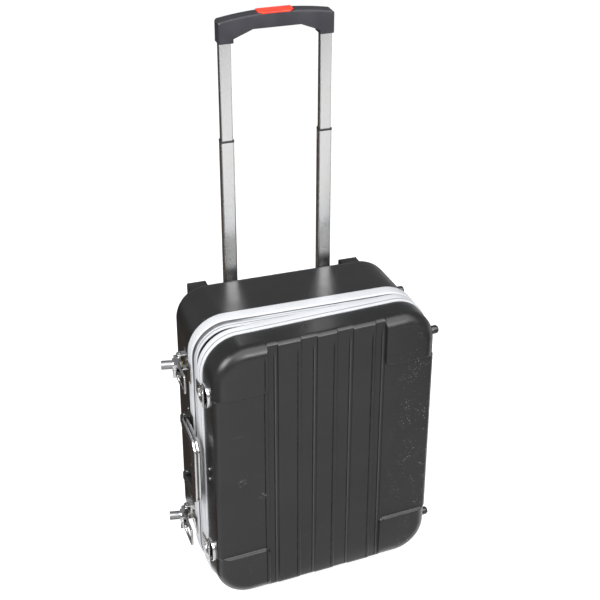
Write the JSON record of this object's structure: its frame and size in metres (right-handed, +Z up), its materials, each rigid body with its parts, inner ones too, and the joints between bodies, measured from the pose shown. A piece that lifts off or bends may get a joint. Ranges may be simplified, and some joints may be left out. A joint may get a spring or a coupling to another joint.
{
  "type": "trolley carrying case",
  "caption": "Upright hard-shell carrying case with double aluminium frame, side-opening lid, key-lock draw latches, folding carry handle, telescopic trolley handle, wheels and foam liner.",
  "frame": {"origin": "on the floor below the middle of the whole object, lid as pictured and trolley handle pulled out", "axes": "+Z up, -Y to the lid (front), +X to the hinge side, wheels at the back (+Y)"},
  "size_m": [0.4365, 0.2815, 0.9206],
  "materials": {
    "abs_black": "satin",
    "frame_aluminium": "satin",
    "seal_rubber": "matte",
    "foam_grey": "matte",
    "lid_foam_grey": "matte",
    "hinge_steel": "satin",
    "latch_chrome": "polished",
    "lock_brass": "satin",
    "bail_steel": "polished",
    "handle_plastic": "gloss",
    "bracket_steel": "satin",
    "screw_steel": "satin",
    "tube_aluminium": "satin",
    "bracket_plastic": "matte",
    "grip_plastic": "satin",
    "button_red": "satin",
    "foot_rubber": "matte",
    "tyre_rubber": "matte",
    "hub_plastic": "satin",
    "foot_cap": "gloss"
  },
  "bodies": {
    "base": {"base_shell": "abs_black", "base_frame": "frame_aluminium", "base_foam": "foam_grey", "hinge_leaves_base": "hinge_steel", "hinge_pins": "hinge_steel", "frame_rivets": "bracket_steel", "side_feet_base": "foot_cap", "upper_latch_plate": "latch_chrome", "upper_latch_pin": "screw_steel", "lower_latch_plate": "latch_chrome", "lower_latch_pin": "screw_steel", "handle_brackets": "bracket_steel", "handle_pins": "screw_steel", "handle_screws": "screw_steel", "trolley_outer_tubes": "tube_aluminium", "trolley_top_bracket": "bracket_plastic", "trolley_bottom_bracket": "bracket_plastic", "trolley_screws": "screw_steel", "rear_skids": "bracket_plastic", "wheel_housings": "bracket_plastic", "wheel_axles": "screw_steel", "front_feet": "foot_rubber"},
    "lid": {"lid_shell": "abs_black", "lid_frame": "frame_aluminium", "lid_seal": "seal_rubber", "lid_foam": "lid_foam_grey", "hinge_leaves_lid": "hinge_steel", "side_feet_lid": "foot_cap", "upper_strike": "latch_chrome", "lower_strike": "latch_chrome", "lid_rivets": "screw_steel"},
    "carry_handle": {"carry_handle": "handle_plastic"},
    "trolley_mid": {"trolley_mid_tubes": "tube_aluminium", "trolley_collars": "bracket_plastic"},
    "trolley_upper": {"trolley_upper_tubes": "tube_aluminium", "grip_front": "grip_plastic", "grip_rear": "grip_plastic", "grip_screws": "screw_steel", "button_spring": "screw_steel"},
    "release": {"release_button": "button_red", "release_yoke": "bracket_plastic"},
    "left_wheel": {"left_tyre": "tyre_rubber", "left_hub": "hub_plastic"},
    "right_wheel": {"right_tyre": "tyre_rubber", "right_hub": "hub_plastic"},
    "upper_lever": {"upper_latch_lever": "latch_chrome", "upper_lock_barrel": "latch_chrome"},
    "upper_plug": {"upper_lock_plug": "lock_brass"},
    "upper_bail": {"upper_latch_bail": "bail_steel"},
    "lower_lever": {"lower_latch_lever": "latch_chrome", "lower_lock_barrel": "latch_chrome"},
    "lower_plug": {"lower_lock_plug": "lock_brass"},
    "lower_bail": {"lower_latch_bail": "bail_steel"}
  },
  "joints": [
    {"name": "lid_hinge", "type": "hinge", "parent": "base", "child": "lid", "pos_m": [0.20996, -0.0452, 0.252], "axis": [0, 0, 1], "range_deg": [-4.07, 105.93]},
    {"name": "carry_handle_fold", "type": "hinge", "parent": "base", "child": "carry_handle", "pos_m": [-0.18904, -0.0272, 0.252], "axis": [0, 0, -1], "range_deg": [0, 100]},
    {"name": "trolley_lower_slide", "type": "slide", "parent": "base", "child": "trolley_mid", "axis": [0, 0, 1], "range_m": [-0.245, 0]},
    {"name": "trolley_upper_slide", "type": "slide", "parent": "trolley_mid", "child": "trolley_upper", "axis": [0, 0, 1], "range_m": [-0.152, 0]},
    {"name": "release_button_press", "type": "slide", "parent": "trolley_upper", "child": "release", "axis": [0, 0, -1], "range_m": [0, 0.004], "stiffness_N_per_m": 500, "springref_m": -0.004, "deforming": ["button_spring"]},
    {"name": "left_wheel_spin", "type": "hinge", "parent": "base", "child": "left_wheel", "pos_m": [-0.12404, 0.0978, 0.025], "axis": [1, 0, 0], "continuous": true},
    {"name": "right_wheel_spin", "type": "hinge", "parent": "base", "child": "right_wheel", "pos_m": [0.14996, 0.0978, 0.025], "axis": [1, 0, 0], "continuous": true},
    {"name": "upper_lever_swing", "type": "hinge", "parent": "base", "child": "upper_lever", "pos_m": [-0.18504, 0.0018, 0.402], "axis": [0, 0, -1], "range_deg": [-12, 33]},
    {"name": "upper_bail_swing", "type": "hinge", "parent": "upper_lever", "child": "upper_bail", "pos_m": [-0.19554, -0.02357, 0.402], "axis": [0, 0, -1], "range_deg": [-11.9, 4.4]},
    {"name": "upper_lock_turn", "type": "hinge", "parent": "upper_lever", "child": "upper_plug", "pos_m": [-0.19875, -0.005, 0.402], "axis": [-0.9781, 0.2079, 0], "range_deg": [0, 90]},
    {"name": "lower_lever_swing", "type": "hinge", "parent": "base", "child": "lower_lever", "pos_m": [-0.18504, 0.0018, 0.102], "axis": [0, 0, -1], "range_deg": [-12, 33]},
    {"name": "lower_bail_swing", "type": "hinge", "parent": "lower_lever", "child": "lower_bail", "pos_m": [-0.19554, -0.02357, 0.102], "axis": [0, 0, -1], "range_deg": [-11.9, 4.4]},
    {"name": "lower_lock_turn", "type": "hinge", "parent": "lower_lever", "child": "lower_plug", "pos_m": [-0.19875, -0.005, 0.102], "axis": [-0.9781, 0.2079, 0], "range_deg": [0, 90]}
  ],
  "couplings": [
    {"joint": "upper_bail_swing", "follows": "upper_lever_swing", "ratio": -0.36},
    {"joint": "lower_bail_swing", "follows": "lower_lever_swing", "ratio": -0.36}
  ]
}
